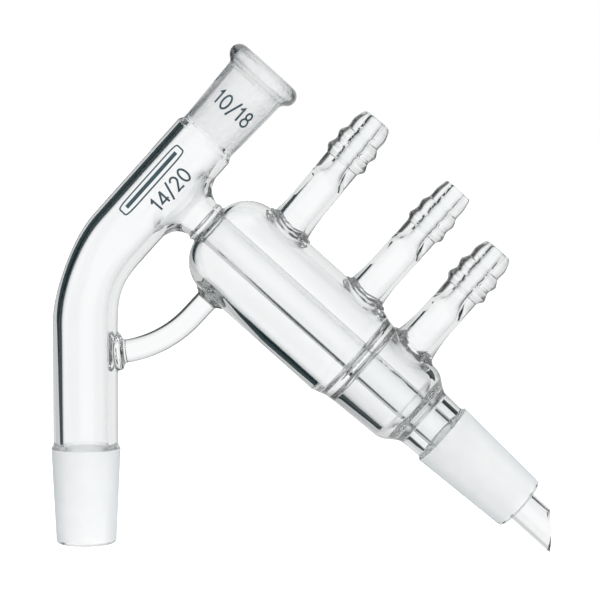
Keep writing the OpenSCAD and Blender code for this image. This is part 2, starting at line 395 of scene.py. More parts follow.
def hose_bore(points, hose):
    axis = hose_axis(hose)
    off, along = axis.off(points), axis.along(points)
    from_tip = hose["reach"] - along
    waving = np.abs(from_tip - WAVE_MIDDLE) < WAVE_REACH
    wave = WAVE * np.sin(WAVE_RATE * from_tip) * waving
    radius = flowing(from_tip, HOSE_BORE_KNOTS) + wave
    return np.maximum(off - radius, HOSE_BORE_FOOT - along)


def tilted(angle):
    """The direction that climbs at an angle in the plane of symmetry."""
    return np.array([math.cos(angle), 0, math.sin(angle)])


foot = Axis((VERTICAL_R, 0, BRACE_Z), tilted(BRACE_ANGLES[0]))
brace_centre = foot.origin + BRACE_BEND * tilted(BRACE_ANGLES[0] + math.pi / 2)
arm = Axis(
    brace_centre + BRACE_BEND * tilted(BRACE_ANGLES[1] - math.pi / 2), tilted(BRACE_ANGLES[1])
)


def brace_solid(points):
    """The rod, with a maria at the vapour tube and a collar at the jacket."""
    across = points[:, [0, 2]] - brace_centre[[0, 2]]
    arc = np.hypot(np.hypot(*across.T) - BRACE_BEND, points[:, 1])
    rise, reach, off = foot.along(points), arm.along(points), arm.off(points)
    rod = np.where(reach > 0, off, arc) - BRACE_R
    rod = np.maximum(rod, np.maximum(-rise, reach - BRACE_LEN))
    collar = np.hypot(np.maximum(off - COLLAR_RING_R, 0), reach - COLLAR_AT) - BRACE_BEAD_R
    inner = np.maximum(foot.off(points) - MARIA_RING_R, 0)
    maria = np.hypot(inner, rise - MARIA_AT) - BRACE_BEAD_R
    return join(join(rod, collar, COLLAR_FILLET), maria, MARIA_FILLET)


def outside(points):
    """The whole head as if it were solid."""
    neck, condenser_body = condenser_solid(points)
    solid = join(vapour_solid(points), neck, NECK_FILLET)
    for hose in HOSES.values():
        condenser_body = join(condenser_body, hose_solid(points, hose), STEM_FILLET)
        condenser_body = join(condenser_body, root_bead(points, hose), ROOT_BEAD_FILLET)
    solid = join(solid, condenser_body, DOME_FILLET)
    return join(solid, brace_solid(points), BRACE_FILLET)


def cavities(points):
    """The vapour's way, the water space and the vacuum space."""
    vapour = join(vapour_bore(points), condenser_bore(points), THROAT_FILLET)
    water, vacuum = water_space(points), vacuum_space(points)
    for name in ("water_outlet", "water_inlet"):
        water = join(water, hose_bore(points, HOSES[name]), HOSE_BORE_FILLET)
    vacuum = join(vacuum, hose_bore(points, HOSES["vacuum_connection"]), HOSE_BORE_FILLET)
    return np.minimum(np.minimum(vapour, water), vacuum)


def glass(points):
    """The whole glass: negative inside, and about the distance from its surface in mm."""
    return meet(outside(points), -cavities(points), RIM_ROUND)


# ----------------------------------------------------------------------
# Mesh from the field
# ----------------------------------------------------------------------


def in_batches(field, points, size=400000):
    """A field's values, worked out for a limited number of points at a time."""
    parts = [field(points[i : i + size]) for i in range(0, len(points), size)]
    return np.concatenate(parts)


def gradient(field, points, step=0.004):
    """The unit vectors along which a field rises fastest, which are the surface's normals."""
    slopes = []
    for shift in np.eye(3) * step:
        ahead = in_batches(field, points + shift)
        slopes.append(ahead - in_batches(field, points - shift))
    slopes = np.stack(slopes, 1)
    return slopes / np.maximum(np.linalg.norm(slopes, axis=1, keepdims=True), 1e-12)


def surface_mesh(field, low, high, cell):
    """Surface nets: one vertex in each cell that the surface crosses, and one quad across each
    grid edge that it crosses. Only blocks of cells near the surface are evaluated."""
    pitch = cell * BLOCK
    counts = np.ceil((high - low) / pitch).astype(int) + 1
    blocks = np.stack(np.meshgrid(*[np.arange(n) for n in counts], indexing="ij"), -1)
    blocks = blocks.reshape(-1, 3)
    centre_value = in_batches(field, low + (blocks + 0.5) * pitch)
    blocks = blocks[np.abs(centre_value) < pitch]

    steps = np.stack(np.meshgrid(*[np.arange(BLOCK + 1)] * 3, indexing="ij"), -1)
    corners = (blocks[:, None] * BLOCK + steps.reshape(1, -1, 3)).reshape(-1, 3)
    values = in_batches(field, low + corners * cell)
    values = values.reshape((len(blocks),) + (BLOCK + 1,) * 3)

    sides = [(i, j, k) for i in (0, 1) for j in (0, 1) for k in (0, 1)]
    stacked = np.stack(
        [values[:, i : i + BLOCK, j : j + BLOCK, k : k + BLOCK] for i, j, k in sides], -1
    )
    inside = (stacked < 0).sum(-1)
    block, *place = np.nonzero((inside > 0) & (inside < 8))
    corner_values = stacked[(block, *place)]
    cells = blocks[block] * BLOCK + np.stack(place, 1)

    total = np.zeros((len(cells), 3))
    crossed = np.zeros(len(cells))
    for a, side_a in enumerate(sides):
        for b, side_b in enumerate(sides):
            if a < b and np.abs(np.subtract(side_a, side_b)).sum() == 1:
                va, vb = corner_values[:, a], corner_values[:, b]
                hit = (va < 0) != (vb < 0)
                share = np.where(hit, va / np.where(hit, va - vb, 1), 0)[:, None]
                point = np.array(side_a) + share * np.subtract(side_b, side_a)
                total += np.where(hit[:, None], point, 0)
                crossed += hit
    vertices = low + (cells + total / crossed[:, None]) * cell

    span = counts * BLOCK + 2
    key = (cells[:, 0] * span[1] + cells[:, 1]) * span[2] + cells[:, 2]
    order = np.argsort(key)
    sorted_key = key[order]
    key_step = np.array([span[1] * span[2], span[2], 1])
    quads = []
    for axis in range(3):
        far = sides.index(tuple(int(a == axis) for a in range(3)))
        near_in, far_in = corner_values[:, 0] < 0, corner_values[:, far] < 0
        owner = np.nonzero(near_in != far_in)[0]
        one, two = key_step[(axis + 1) % 3], key_step[(axis + 2) % 3]
        ring = np.stack([key[owner] - s for s in (0, one, one + two, two)], 1)
        found = np.searchsorted(sorted_key, ring).clip(0, len(key) - 1)
        whole = (sorted_key[found] == ring).all(1)
        quad = order[found]
        quad[~near_in[owner]] = quad[~near_in[owner]][:, ::-1]
        quads.append(quad[whole])
    quads = np.concatenate(quads)

    normal = gradient(field, vertices)
    for _ in range(3):
        reach = np.clip(in_batches(field, vertices), -cell, cell)
        vertices = vertices - normal * reach[:, None]
    return vertices, quads


def new_object(name, data):
    """An object with its data, linked to the scene."""
    made = bpy.data.objects.new(name, data)
    bpy.context.scene.collection.objects.link(made)
    return made


def thinned(vertices, quads, field):
    """The same surface in fewer triangles: straight stretches give up most of theirs."""
    mesh = bpy.data.meshes.new("whole")
    mesh.vertices.add(len(vertices))
    mesh.vertices.foreach_set("co", vertices.ravel())
    mesh.loops.add(quads.size)
    mesh.loops.foreach_set("vertex_index", quads.ravel())
    mesh.polygons.add(len(quads))
    mesh.polygons.foreach_set("loop_start", np.arange(0, quads.size, 4))
    mesh.update(calc_edges=True)
    whole = new_object("whole", mesh)
    whole.modifiers.new("thin", "DECIMATE").ratio = KEPT_SHARE
    bpy.context.view_layer.update()
    result = whole.evaluated_get(bpy.context.evaluated_depsgraph_get()).to_mesh()
    result.calc_loop_triangles()
    vertices = np.empty(len(result.vertices) * 3)
    result.vertices.foreach_get("co", vertices)
    vertices = vertices.reshape(-1, 3)
    triangles = np.empty(len(result.loop_triangles) * 3, np.int32)
    result.loop_triangles.foreach_get("vertices", triangles)
    whole.to_mesh_clear()
    bpy.data.objects.remove(whole)
    bpy.data.meshes.remove(mesh)
    normal = gradient(field, vertices)
    for _ in range(2):
        vertices = vertices - normal * in_batches(field, vertices)[:, None]
    return vertices, triangles.reshape(-1, 3)


# ----------------------------------------------------------------------
# Pieces
# ----------------------------------------------------------------------

# Where the seams lie: along the condenser, and along each hose connection and the brace
SADDLE = 7.35
RING_AT = 10.7
DOME_CUT = 13.2
TUBE_STUB = 14.9
DISC = (52.6, 55.9)
CHAMBER_FOOT = 72.2
STUBS = {"water_outlet": 11.8, "water_inlet": 11.8, "vacuum_connection": 10.5}
STUB_REACH = 7.5
BRACE_CUTS = (1.7, 4.2)

# How far from the axis the cuts through each part reach
TUBE_REACH = 9
NECK_REACH = 8
DOME_REACH = 11
INNER_REACH = 4.6
BODY_REACH = 14
BRACE_REACH = 4.5

# Each cut: an axis, the distance along it, how far from the axis it reaches, and whether it is
# a seam between two pieces or only the edge of a finish
CUTS = [
    (plumb, COLLAR_Z, TUBE_REACH, "seam"),
    (plumb, 0.0, TUBE_REACH, "finish"),
    (plumb, FOOT_Z + POLISH, TUBE_REACH, "finish"),
    (slant, SOCKET_START, TUBE_REACH, "seam"),
    (slant, SOCKET_FOOT, TUBE_REACH, "finish"),
    (slant, SOCKET_LIP, TUBE_REACH, "finish"),
    (condenser, SADDLE, NECK_REACH, "seam"),
    (condenser, RING_AT, NECK_REACH, "seam"),
    (condenser, DOME_CUT, DOME_REACH, "seam"),
    (condenser, TUBE_STUB, INNER_REACH, "seam"),
    (condenser, DISC[0], BODY_REACH, "seam"),
    (condenser, DISC[1], BODY_REACH, "seam"),
    (condenser, CHAMBER_FOOT, BODY_REACH, "seam"),
    (condenser, NECK_END, BODY_REACH, "seam"),
    (condenser, RECEIVER_START, BODY_REACH, "finish"),
    (condenser, RECEIVER_END - POLISH, BODY_REACH, "finish"),
    (foot, BRACE_CUTS[0], BRACE_REACH, "seam"),
    (arm, BRACE_CUTS[1], BRACE_REACH, "seam"),
]
for hose_name, hose_facts in HOSES.items():
    CUTS.append((hose_axis(hose_facts), STUBS[hose_name], STUB_REACH, "seam"))


def piece_names(points):
    """The name of the piece that each point of the surface belongs to."""
    along, off = condenser.along(points), condenser.off(points)
    names = np.full(len(points), "vapour_tube", dtype="U24")
    body = BODY_REACH - 1
    below = [
        (SADDLE, NECK_REACH, "vapour_neck"),
        (RING_AT, NECK_REACH, "upper_ring_seal"),
        (DOME_CUT, body, "condenser_jacket"),
        (TUBE_STUB, INNER_REACH, "condenser_tube"),
        (DISC[0], body, "lower_ring_seal"),
        (DISC[1], body, "vacuum_chamber"),
        (CHAMBER_FOOT, body, "receiver_neck"),
        (NECK_END, body, "receiver_joint"),
        (DISC[1], (INNER_R + NECK_BORE_R) / 2, "drip_tube"),
    ]
    for start, reach, name in below:
        names[(along > start) & (off < reach)] = name
    for name, hose in HOSES.items():
        axis = hose_axis(hose)
        names[(axis.off(points) < STUB_REACH) & (axis.along(points) > STUBS[name])] = name
    in_rod = (foot.along(points) > BRACE_CUTS[0]) & (arm.along(points) < BRACE_CUTS[1])
    names[in_rod & (brace_solid(points) < 1)] = "brace_rod"
    in_socket = (slant.along(points) > SOCKET_START) & (slant.off(points) < TUBE_REACH)
    names[in_socket] = "thermometer_joint"
    names[(points[:, 2] < COLLAR_Z) & (plumb.off(points) < TUBE_REACH)] = "pot_joint"
    return names


def cut_face(face, level, vertices, on_edge):
    """The two faces on either side of a plane, for a face that crosses it. New vertices go on
    the end of vertices, and on_edge remembers them by edge."""
    below, above = [], []
    for a, b in zip(face, face[1:] + face[:1]):
        (above if level[a] > 0 else below).append(a)
        if (level[a] > 0) != (level[b] > 0):
            edge = (min(a, b), max(a, b))
            if edge not in on_edge:
                start, end = vertices[edge[0]], vertices[edge[1]]
                share = level[edge[0]] / (level[edge[0]] - level[edge[1]])
                on_edge[edge] = len(vertices)
                vertices.append(start + share * (end - start))
            above.append(on_edge[edge])
            below.append(on_edge[edge])
    return [above, below]


def cut_mesh(vertices, triangles, cuts):
    """Cuts the mesh by each plane near its axis. Returns the vertices, and the faces as lists."""
    loose = []
    for axis, distance, reach, _ in cuts:
        points = np.array(vertices)
        level = axis.along(points) - distance
        close = axis.off(points) < reach
        heights = level[triangles]
        crossing = (heights.min(1) <= 0) & (heights.max(1) > 0) & close[triangles].all(1)
        crossed = triangles[crossing].tolist()
        triangles = triangles[~crossing]
        kept = []
        for face in loose:
            across = min(level[face]) <= 0 < max(level[face]) and close[face].all()
            (crossed if across else kept).append(face)
        vertices, on_edge = list(vertices), {}
        for face in crossed:
            kept += cut_face(face, level, vertices, on_edge)
        loose = kept
    return np.array(vertices), triangles.tolist() + loose


def face_centres(vertices, faces):
    """The mean of each face's corners."""
    sizes = np.array([len(f) for f in faces])
    flat = np.concatenate([np.array(f) for f in faces])
    starts = np.concatenate([[0], np.cumsum(sizes)[:-1]])
    return np.add.reduceat(vertices[flat], starts) / sizes[:, None]


def on_cut(points):
    """The number of the cut whose plane each point lies on, or -1."""
    found = np.full(len(points), -1)
    for number, (axis, distance, reach, kind) in enumerate(CUTS):
        flat = np.abs(axis.along(points) - distance) < 1e-4
        if kind == "seam":
            found[flat & (axis.off(points) < reach + 1)] = number
    return found


# Places in a piece's list of materials: its own glass, the seam, and a joint's ground zone
CLEAR_SLOT, SEAM_SLOT, GROUND_SLOT = range(3)


def close_seams(bm):
    """Fills each seam's opening with flat faces in the seam's material."""
    rims = {}
    for edge in bm.edges:
        if edge.is_boundary:
            ends = np.array([v.co[:] for v in edge.verts])
            cut = on_cut(ends)
            rims.setdefault(int(cut[0]) if cut[0] == cut[1] else -1, []).append(edge)
    for cut, edges in sorted(rims.items()):
        if cut < 0:
            raise ValueError(f"{len(edges)} open edges lie on no cut")
        axis, distance = CUTS[cut][:2]
        beside = np.array([e.link_faces[0].calc_center_median()[:] for e in edges])
        inward = np.sign((axis.along(beside) - distance).sum()) * Vector(axis.direction)
        filled = bmesh.ops.triangle_fill(
            bm, use_beauty=True, use_dissolve=False, edges=edges, normal=-inward
        )
        for item in filled["geom"]:
            if isinstance(item, bmesh.types.BMFace):
                item.material_index = SEAM_SLOT
                item.smooth = False
                item.normal_update()
                if item.normal.dot(inward) > 0:
                    item.normal_flip()


def ground(name, centres):
    """True for the faces of a joint that are ground: the cone's outside or the socket's inside."""
    if name == "pot_joint":
        zone = (centres[:, 2] < 0) & (centres[:, 2] > FOOT_Z + POLISH)
        return zone & (plumb.off(centres) > (JOINT_R + POT_BORE_R) / 2)
    along = slant.along(centres)
    if name == "thermometer_joint":
        zone = (along > SOCKET_FOOT) & (along < SOCKET_LIP)
        return zone & (slant.off(centres) < SOCKET_R + 0.4)
    along = condenser.along(centres)
    zone = (along > RECEIVER_START) & (along < RECEIVER_END - POLISH)
    return zone & (condenser.off(centres) > (JOINT_R + NECK_BORE_R) / 2)


JOINTS = ("pot_joint", "thermometer_joint", "receiver_joint")

# How far below the surface the glass is probed, how deep a plain wall is there, and how much
# deeper it has to be for the full colour of thick glass, which is partly painted shade
PROBE = 1.3
THIN_DEPTH = 0.62
THICKER = PROBE - THIN_DEPTH - 0.2


def read_faces(mesh, key, width, kind=float):
    """A value or a vector of each face, as an array."""
    values = np.empty(len(mesh.polygons) * width, kind)
    mesh.polygons.foreach_get(key, values)
    return values.reshape(-1, width) if width > 1 else values


def make_piece(name, vertices, faces, materials):
    """One piece of glass: its share of the faces, its seams, its materials and its normals."""
    used = np.unique(np.concatenate([np.array(f) for f in faces]))
    renumber = {int(old): new for new, old in enumerate(used)}
    mesh = bpy.data.meshes.new(name)
    mesh.from_pydata(
        [tuple(vertices[i]) for i in used],
        [],
        [tuple(renumber[i] for i in f) for f in faces],
    )
    bm = bmesh.new()
    bm.from_mesh(mesh)
    close_seams(bm)
    for edge in bm.edges:
        kinds = {f.material_index for f in edge.link_faces}
        edge.smooth = len(kinds) < 2
    bm.to_mesh(mesh)
    bm.free()

    points = np.empty(len(mesh.vertices) * 3)
    mesh.vertices.foreach_get("co", points)
    points = points.reshape(-1, 3)
    slot = read_faces(mesh, "material_index", 1, np.int32)
    if name in JOINTS:
        zone = ground(name, read_faces(mesh, "center", 3))
        slot[zone & (slot == CLEAR_SLOT)] = GROUND_SLOT
        mesh.polygons.foreach_set("material_index", slot)
    smooth_normal = gradient(glass, points)
    corner_vertex = np.empty(len(mesh.loops), np.int32)
    mesh.loops.foreach_get("vertex_index", corner_vertex)
    count = read_faces(mesh, "loop_total", 1, np.int32)
    corner_face = np.repeat(np.arange(len(mesh.polygons)), count)
    normals = smooth_normal[corner_vertex]
    flat = slot[corner_face] == SEAM_SLOT
    normals[flat] = read_faces(mesh, "normal", 3)[corner_face[flat]]
    mesh.normals_split_custom_set([tuple(n) for n in normals])
    # Thickness chooses the thick glass's colour, with its darker body and painted shade at
    # glancing edges
    deep = -glass(points - PROBE * smooth_normal) - THIN_DEPTH
    thickness = mesh.attributes.new("thickness", "FLOAT", "POINT")
    thickness.data.foreach_set("value", np.clip(deep / THICKER, 0, 1))
    mesh.vertices.foreach_set("co", (points * MM).ravel())
    mesh.update()

    piece = new_object(name + "_glass", mesh)
    for material in materials:
        mesh.materials.append(material)
    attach(piece, "root")
    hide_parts(name)


# ----------------------------------------------------------------------
# Materials
# ----------------------------------------------------------------------


REFRACTION = 1.47


class Shader:
    """A material under construction: its node tree and short ways to add to it."""

    def __init__(self, name):
        self.material = bpy.data.materials.new(name)
        self.material.use_nodes = True
        self.tree = self.material.node_tree
        self.tree.nodes.clear()
        self.place = self.node("ShaderNodeTexCoord").outputs["Object"]

    def node(self, kind, **inputs):
        node = self.tree.nodes.new(kind)
        for key, value in inputs.items():
            self.set(node, key.replace("_", " "), value)
        return node

    def set(self, node, socket, value):
        if isinstance(value, bpy.types.NodeSocket):
            self.tree.links.new(value, node.inputs[socket])
        else:
            node.inputs[socket].default_value = value

    def math(self, operation, first, second):
        node = self.node("ShaderNodeMath")
        node.operation = operation
        self.set(node, 0, first)
        self.set(node, 1, second)
        return node.outputs[0]

    def noise(self, scale, detail=2.0):
        node = self.node("ShaderNodeTexNoise", Vector=self.place, Scale=scale, Detail=detail)
        return node.outputs["Fac"]

    def ramp(self, value, low, high, low_at=0.3, high_at=0.7):
        """Colours or greys from low to high as value goes from low_at to high_at."""
        node = self.node("ShaderNodeValToRGB", Fac=value)
        node.color_ramp.elements[0].position = low_at
        node.color_ramp.elements[1].position = high_at
        node.color_ramp.elements[0].color = low
        node.color_ramp.elements[1].color = high
        return node.outputs["Color"]

    def painted_edge_shade(self, colour, edge, start):
        """Painted shade: the colour darkens towards the edge colour where the surface is met at a
        glance, standing in for the dark edges that reflection and refraction give glass.
        """
        glance = self.node("ShaderNodeLayerWeight", Blend=0.5).outputs["Facing"]
        share = self.node("ShaderNodeMapRange", Value=glance, From_Min=start, From_Max=1.0)
        return self.mix(share.outputs[0], colour, edge)

    def mix(self, share, first, second):
        mixed = self.node("ShaderNodeMix")
        mixed.data_type = "RGBA"
        self.set(mixed, 0, share)
        self.set(mixed, 6, first)
        self.set(mixed, 7, second)
        return mixed.outputs[2]

    def glass(self, tint_and_edge_shade, bump, roughness):
        node = self.node(
            "ShaderNodeBsdfPrincipled",
            Base_Color=tint_and_edge_shade,
            Normal=bump.outputs["Normal"],
            Transmission_Weight=1.0,
            Roughness=roughness,
            IOR=REFRACTION,
        )
        return node.outputs["BSDF"]

    def see_through(self):
        return self.node("ShaderNodeBsdfTransparent").outputs["BSDF"]

    def blend(self, share, first, second):
        """A surface that is partly the first and, by a share, the second."""
        node = self.node("ShaderNodeMixShader", Fac=share)
        self.set(node, 1, first)
        self.set(node, 2, second)
        return node.outputs["Shader"]

    def finish(self, surface):
        output = self.node("ShaderNodeOutputMaterial")
        self.tree.links.new(surface, output.inputs["Surface"])
        return self.material


def grey(value):
    return (value, value, value, 1)


def clear_glass():
    """Fire-polished borosilicate: clear, with the faint waviness of drawn tubing, and deeper in
    colour where it is thick, as at a lip, a seal or the solid rod, partly as thick glass is and
    partly as painted shade. Its edges carry painted shade where they are met at a glance."""
    shader = Shader("clear_borosilicate")
    body = shader.ramp(shader.noise(90.0), (0.978, 0.984, 0.987, 1), (0.99, 0.993, 0.996, 1))
    # Painted shade: thin glass darkens a little at glancing edges, and thick glass, as at a lip, a
    # seal or the rod, darkens nearly to black there, to draw their dark outlines
    thin = shader.painted_edge_shade(body, (0.8, 0.86, 0.87, 1), 0.35)
    deep = shader.painted_edge_shade((0.962, 0.972, 0.977, 1), (0.0, 0.015, 0.02, 1), 0.12)
    thickness = shader.node("ShaderNodeAttribute")
    thickness.attribute_name = "thickness"
    tint_and_edge_shade = shader.mix(thickness.outputs["Fac"], thin, deep)
    wave = shader.noise(160.0, 1.0)
    bump = shader.node("ShaderNodeBump", Height=wave, Strength=0.05, Distance=0.0001)
    return shader.finish(shader.glass(tint_and_edge_shade, bump, 0.0))


def ground_glass(name, clearness):
    """The finely ground zone of a joint: frosted, with a fine grain and cloudy patches. A socket
    is seen through its own clear wall and is a little less dense than a cone."""
    shader = Shader(name)
    cloud = shader.noise(260.0, 3.0)
    grain = shader.noise(9000.0, 2.0)
    cloudy = shader.ramp(cloud, (0.93, 0.942, 0.947, 1), (0.985, 0.99, 0.992, 1))
    # Painted shade: the cloudy colour darkens to blue-grey where the surface is met at a glance
    tint_and_edge_shade = shader.painted_edge_shade(cloudy, (0.58, 0.63, 0.65, 1), 0.2)
    rough = shader.ramp(grain, grey(0.46), grey(0.6))
    bump = shader.node("ShaderNodeBump", Height=grain, Strength=0.25, Distance=0.00004)
    clear = shader.glass(tint_and_edge_shade, bump, rough)
    haze = shader.node("ShaderNodeBsdfTranslucent", Color=tint_and_edge_shade, Normal=bump.outputs["Normal"])
    white = shader.node("ShaderNodeBsdfDiffuse", Color=tint_and_edge_shade, Normal=bump.outputs["Normal"])
    scatter = shader.blend(0.6, haze.outputs["BSDF"], white.outputs["BSDF"])
    frost = shader.blend(0.72, clear, scatter)
    return shader.finish(shader.blend(clearness, frost, shader.see_through()))


def fused_seam():
    """The face where one length of tubing is fused to the next: glass on both sides, so light
    passes straight through."""
    shader = Shader("fused_seam")
    return shader.finish(shader.see_through())


def enamel():
    """Fired enamel of the marks: dark, a little glossy, uneven in thickness."""
    shader = Shader("marking_enamel")
    shade = shader.ramp(shader.noise(700.0), (0.018, 0.046, 0.06, 1), (0.03, 0.066, 0.084, 1))
    paint = shader.node(
        "ShaderNodeBsdfPrincipled", Base_Color=shade, Roughness=0.42, IOR=1.5
    )
    return shader.finish(paint.outputs["BSDF"])


# ----------------------------------------------------------------------
# Marks
# ----------------------------------------------------------------------

# Width of a stroke, and the heights of the enamel's two sides above the glass
STROKE = 0.44
PAINT_LOW = 0.01
PAINT_HIGH = 0.06

# Middle of each mark: place along the slanted tube, and arc round it
SIZE_14_20_AT = (25.7, 1.7)
SIZE_10_18_AT = (46.4, 0.4)
PANEL_AT = (24.2, -2.7)


def loop(x, y, half_wide, half_high, power=2.0, steps=28):
    """A closed stroke: an ellipse, or with a higher power a rounded frame."""
    turns = [math.tau * i / steps for i in range(steps)]
    points = []
    for turn in turns:
        c, s = math.cos(turn), math.sin(turn)
        along = math.copysign(abs(c) ** (2 / power), c)
        up = math.copysign(abs(s) ** (2 / power), s)
        points.append((x + half_wide * along, y + half_high * up))
    return points, True


def line(*points):
    return list(points), False


def hook():
    """The bowl and slope of a two."""
    turns = [math.radians(165 - 12 * i) for i in range(18)]
    bowl = [(0.3 + 0.24 * math.cos(t), 0.73 + 0.27 * math.sin(t)) for t in turns]
    return bowl + [(0.05, 0.0), (0.56, 0.0)], False


# Strokes of each sign, in a box one high, and how far on the next sign starts
SIGNS = {
    "0": ([loop(0.32, 0.5, 0.26, 0.5)], 0.78),
    "1": ([line((0.02, 0.78), (0.22, 1.0), (0.22, 0.0))], 0.5),
    "2": ([hook()], 0.74),
    "4": ([line((0.46, 0.0), (0.46, 1.0)), line((0.46, 1.0), (0.02, 0.28), (0.62, 0.28))], 0.76),
    "8": ([loop(0.3, 0.76, 0.2, 0.23), loop(0.3, 0.26, 0.26, 0.27)], 0.72),
    "/": ([line((0.0, -0.16), (0.42, 1.12))], 0.56),
}


def written(signs, height):
    """The strokes of a row of signs, centred on its own middle."""
    strokes, at = [], 0.0
    for sign in signs:
        for points, closed in SIGNS[sign][0]:
            strokes.append(([(at + x, y) for x, y in points], closed))
        at += SIGNS[sign][1]
    return [([((x - at / 2) * height, (y - 0.5) * height) for x, y in p], c) for p, c in strokes]


def split_long(points, closed, longest=0.35):
    """The same stroke with points close enough together to follow the curve of the tube."""
    ends = points + points[:1] if closed else points
    fine = []
    for (x0, y0), (x1, y1) in zip(ends, ends[1:]):
        parts = max(1, math.ceil(math.hypot(x1 - x0, y1 - y0) / longest))
        fine += [(x0 + (x1 - x0) * i / parts, y0 + (y1 - y0) * i / parts) for i in range(parts)]
    return fine if closed else fine + [ends[-1]]


def ribbon(points, closed, width):
    """The two sides of a stroke, mitred at its corners."""
    path = np.array(split_long(points, closed))
    ahead, behind = np.roll(path, -1, 0) - path, path - np.roll(path, 1, 0)
    if not closed:
        ahead[-1], behind[0] = behind[-1], ahead[0]
    ahead /= np.linalg.norm(ahead, axis=1, keepdims=True)
    behind /= np.linalg.norm(behind, axis=1, keepdims=True)
    normal = ahead + behind
    normal = np.stack([-normal[:, 1], normal[:, 0]], 1)
    normal /= np.linalg.norm(normal, axis=1, keepdims=True)
    square = np.stack([-ahead[:, 1], ahead[:, 0]], 1)
    reach = 1 / np.maximum((normal * square).sum(1, keepdims=True), 0.5)
    return path + normal * reach * width / 2, path - normal * reach * width / 2


def make_mark(name, strokes, middle, along_tube, width=STROKE):
    """Lays strokes on the slanted tube, as closed ribbons of enamel. The rows run along the tube
    or round it; middle is the place along the tube and the arc round it towards the condenser."""
    vertices, faces = [], []
    for number, (points, closed) in enumerate(strokes):
        left, right = ribbon(points, closed, width)
        first, count = len(vertices), len(left)
        low, high = PAINT_LOW, PAINT_HIGH + 0.01 * (number % 2)
        for side, lift in ((left, low), (right, low), (right, high), (left, high)):
            for x, y in side:
                rise = middle[0] + (x if along_tube else y)
                arc = middle[1] + (-y if along_tube else x)
                radius = float(straight(rise + SLANT_SHIFT, TUBE_KNOTS)) + lift
                turn = arc / radius
                place = slant.at(rise) + radius * math.sin(turn) * np.array(DOWN_SLANT)
                vertices.append((place - (0, radius * math.cos(turn), 0)) * MM)
        for i in range(count if closed else count - 1):
            j = (i + 1) % count
            for side in range(4):
                a, b = first + side * count, first + (side + 1) % 4 * count
                faces.append((a + i, a + j, b + j, b + i))
        if not closed:
            for end in (0, count - 1):
                faces.append(tuple(first + side * count + end for side in range(4)))
    mesh = bpy.data.meshes.new(name)
    mesh.from_pydata([tuple(v) for v in vertices], [], faces)
    bm = bmesh.new()
    bm.from_mesh(mesh)
    bmesh.ops.recalc_face_normals(bm, faces=bm.faces)
    bm.to_mesh(mesh)
    bm.free()
    piece = new_object(name, mesh)
    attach(piece, "root")
    return piece


def make_marks():
    """Size marks of two of the joints, and a plain panel such as a maker or a user writes in."""
    paint = enamel()
    panel = [loop(0, 0, 8.9, 1.3, power=7.0, steps=72)]
    bar = [line((-7.6, 0), (7.6, 0))]
    marks = [
        make_mark("size_mark_14_20", written("14/20", 3.1), SIZE_14_20_AT, True),
        make_mark("size_mark_10_18", written("10/18", 3.2), SIZE_10_18_AT, False),
        make_mark("marking_panel_frame", panel, PANEL_AT, True, 0.34),
        make_mark("marking_panel_bar", bar, PANEL_AT, True, 0.9),
    ]
    for mark in marks:
        mark.data.materials.append(paint)


# ----------------------------------------------------------------------
# Studio
# ----------------------------------------------------------------------

FLOOR_Z = -60.0
CAMERA_LENS = 164.3
CAMERA_PLACE = (44.84, -570, 74)
CAMERA_AIM = (44.84, 0, 31.1)


def make_camera():
    """Level with the head's upper half, a little more than half a metre in front of it."""
    data = bpy.data.cameras.new("camera")
    data.lens = CAMERA_LENS
    data.sensor_width = 36.0
    data.clip_start = 0.01
    camera = new_object("camera", data)
    aim = Vector(CAMERA_AIM) * MM
    camera.location = Vector(CAMERA_PLACE) * MM
    camera.rotation_euler = (aim - camera.location).to_track_quat("-Z", "Y").to_euler()
    bpy.context.scene.camera = camera


def make_floor():
    """A plain pale floor some way below the head, which hangs from its pot joint."""
    bm = bmesh.new()
    bmesh.ops.create_grid(bm, x_segments=8, y_segments=8, size=6.0)
    mesh = bpy.data.meshes.new("floor")
    bm.to_mesh(mesh)
    bm.free()
    floor = new_object("floor", mesh)
    floor.location.z = FLOOR_Z * MM
    floor.visible_transmission = False
    floor.visible_glossy = False
    shader = Shader("pale_floor")
    shade = shader.ramp(shader.noise(3.0), grey(0.96), grey(0.98))
    paper = shader.node("ShaderNodeBsdfDiffuse", Color=shade)
    mesh.materials.append(shader.finish(paper.outputs["BSDF"]))


